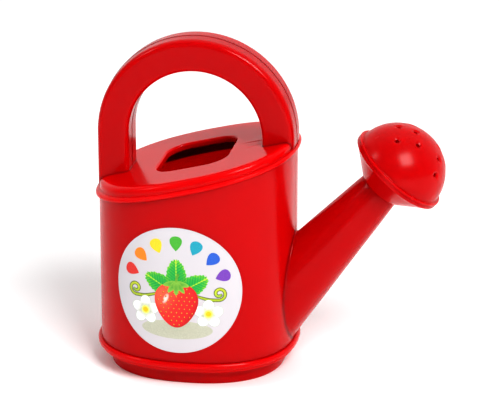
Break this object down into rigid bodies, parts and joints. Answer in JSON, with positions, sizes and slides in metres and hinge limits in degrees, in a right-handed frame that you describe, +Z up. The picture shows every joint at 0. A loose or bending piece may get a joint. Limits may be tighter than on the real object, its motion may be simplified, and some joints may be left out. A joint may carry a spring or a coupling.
{
  "type": "watering can",
  "caption": "Child's watering can: oval tank with sloping deck and filler hole, arched handle, conical spout, turning rose with pull-off sprinkling face.",
  "frame": {"origin": "centre of the foot ring's flat underside, on the ground", "axes": "+X towards the spout, +Y across the can towards the plain rear side, +Z up"},
  "size_m": [0.2132, 0.1144, 0.2057],
  "materials": {
    "red_polypropylene": "glossy moulded red polypropylene",
    "sticker_vinyl": "printed glossy vinyl film"
  },
  "bodies": {
    "can": {"body_wall": "red_polypropylene", "base_pan": "red_polypropylene", "top_deck": "red_polypropylene", "handle_front": "red_polypropylene", "handle_rear": "red_polypropylene", "spout": "red_polypropylene", "front_sticker": "sticker_vinyl"},
    "rose_cup": {"rose_cup": "red_polypropylene"},
    "rose_face": {"rose_face": "red_polypropylene"}
  },
  "joints": [
    {"name": "rose_turn", "type": "hinge", "parent": "can", "child": "rose_cup", "pos_m": [0.0494, 0, 0.0415], "axis": [0.6455, 0, 0.7638], "continuous": true},
    {"name": "rose_face_pull", "type": "slide", "parent": "rose_cup", "child": "rose_face", "axis": [0.6455, 0, 0.7638], "range_m": [0, 0.025]}
  ]
}
